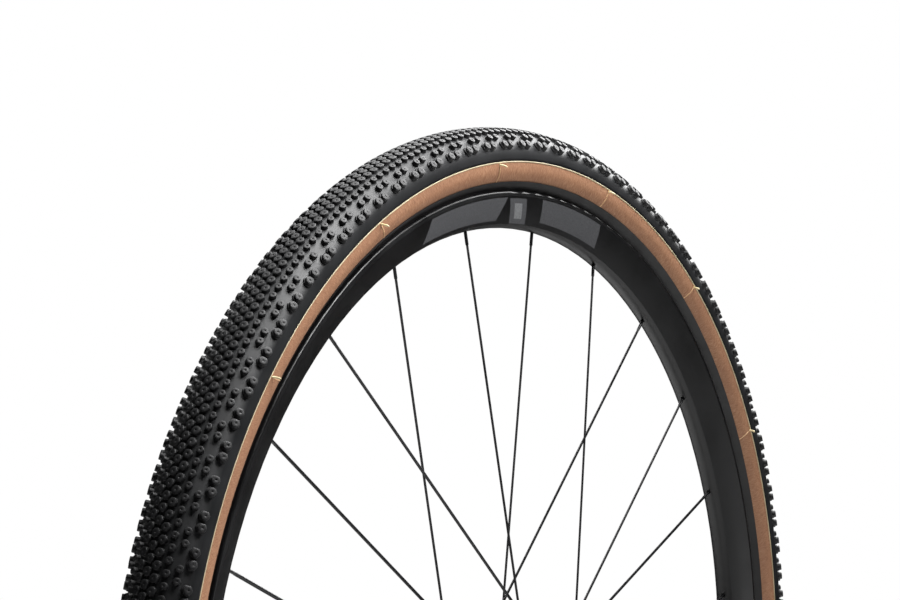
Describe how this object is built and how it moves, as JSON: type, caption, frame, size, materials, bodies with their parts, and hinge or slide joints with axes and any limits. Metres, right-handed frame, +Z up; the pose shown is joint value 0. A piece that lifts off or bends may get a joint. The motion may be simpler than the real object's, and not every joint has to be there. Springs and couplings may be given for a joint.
{
  "type": "bicycle wheel with tyre",
  "caption": "Knobbly tan-sidewall gravel tyre mounted on a spoked black disc-brake front wheel with a through-axle hub and valve.",
  "frame": {"origin": "the wheel's centre, on the axle, midway between the dropout faces", "axes": "+Y along the axle towards the disc rotor side (the rider's left), +Z up with the valve at the bottom, +X forward"},
  "size_m": [0.7127, 0.1, 0.7128],
  "materials": {
    "tread_rubber": "satin moulded rubber",
    "sidewall_skin": "matte tan skim over fine woven threads",
    "chafer_rubber": "matte",
    "belt_fabric": "woven",
    "bead_fibre": "braided fibre cord",
    "rim_carbon": "satin black carbon-fibre laminate",
    "rim_tape": "thin tape",
    "nipple_alloy": "black anodised",
    "spoke_steel": "black coated stainless steel",
    "hub_alloy": "black anodised",
    "axle_alloy": "dark anodised",
    "race_steel": "ground",
    "ball_steel": "polished",
    "cage_plastic": "moulded nylon",
    "seal_rubber": "matte",
    "valve_alloy": "black anodised",
    "valve_brass": "plated",
    "cap_plastic": "moulded"
  },
  "bodies": {
    "axle": {"axle_tube": "axle_alloy", "end_cap_left": "axle_alloy", "end_cap_right": "axle_alloy", "bearing_left_inner_race": "race_steel", "bearing_right_inner_race": "race_steel"},
    "wheel": {"bead_core_left": "bead_fibre", "bead_core_right": "bead_fibre", "bearing_left_outer_race": "race_steel", "bearing_left_seals": "seal_rubber", "bearing_right_outer_race": "race_steel", "bearing_right_seals": "seal_rubber", "casing": "sidewall_skin", "chafer_left": "chafer_rubber", "chafer_right": "chafer_rubber", "dust_cover_left": "seal_rubber", "dust_cover_right": "seal_rubber", "hub_shell": "hub_alloy", "puncture_belt": "belt_fabric", "rim": "rim_carbon", "rim_tape": "rim_tape", "spoke_left_01": "spoke_steel", "spoke_left_02": "spoke_steel", "spoke_left_03": "spoke_steel", "spoke_left_04": "spoke_steel", "spoke_left_05": "spoke_steel", "spoke_left_06": "spoke_steel", "spoke_left_07": "spoke_steel", "spoke_left_08": "spoke_steel", "spoke_left_09": "spoke_steel", "spoke_left_10": "spoke_steel", "spoke_left_11": "spoke_steel", "spoke_left_12": "spoke_steel", "spoke_nipples": "nipple_alloy", "spoke_right_01": "spoke_steel", "spoke_right_02": "spoke_steel", "spoke_right_03": "spoke_steel", "spoke_right_04": "spoke_steel", "spoke_right_05": "spoke_steel", "spoke_right_06": "spoke_steel", "spoke_right_07": "spoke_steel", "spoke_right_08": "spoke_steel", "spoke_right_09": "spoke_steel", "spoke_right_10": "spoke_steel", "spoke_right_11": "spoke_steel", "spoke_right_12": "spoke_steel", "tread": "tread_rubber", "valve_core": "valve_brass", "valve_grommet": "seal_rubber", "valve_lock_nut": "valve_alloy", "valve_o_ring": "seal_rubber", "valve_stem": "valve_alloy"},
    "ball_set_left": {"bearing_left_balls": "ball_steel", "bearing_left_cage": "cage_plastic"},
    "ball_set_right": {"bearing_right_balls": "ball_steel", "bearing_right_cage": "cage_plastic"},
    "valve_pin_body": {"valve_pin": "valve_brass", "valve_knob": "valve_brass"},
    "valve_cap_body": {"valve_cap": "cap_plastic"}
  },
  "joints": [
    {"name": "wheel_spin", "type": "hinge", "parent": "axle", "child": "wheel", "pos_m": [0, 0, 0], "axis": [0, 1, 0], "continuous": true},
    {"name": "ball_spin_left", "type": "hinge", "parent": "axle", "child": "ball_set_left", "pos_m": [0, 0.0415, 0], "axis": [0, 1, 0], "continuous": true},
    {"name": "ball_spin_right", "type": "hinge", "parent": "axle", "child": "ball_set_right", "pos_m": [0, -0.0415, 0], "axis": [0, 1, 0], "continuous": true},
    {"name": "valve_press", "type": "slide", "parent": "wheel", "child": "valve_pin_body", "axis": [0, 0, -1], "range_m": [0, 0.0015], "stiffness_N_per_m": 400},
    {"name": "cap_pull", "type": "slide", "parent": "wheel", "child": "valve_cap_body", "axis": [0, 0, 1], "range_m": [0, 0.022]}
  ],
  "couplings": [
    {"joint": "ball_spin_left", "follows": "wheel_spin", "ratio": 0.5923},
    {"joint": "ball_spin_right", "follows": "wheel_spin", "ratio": 0.5923}
  ]
}
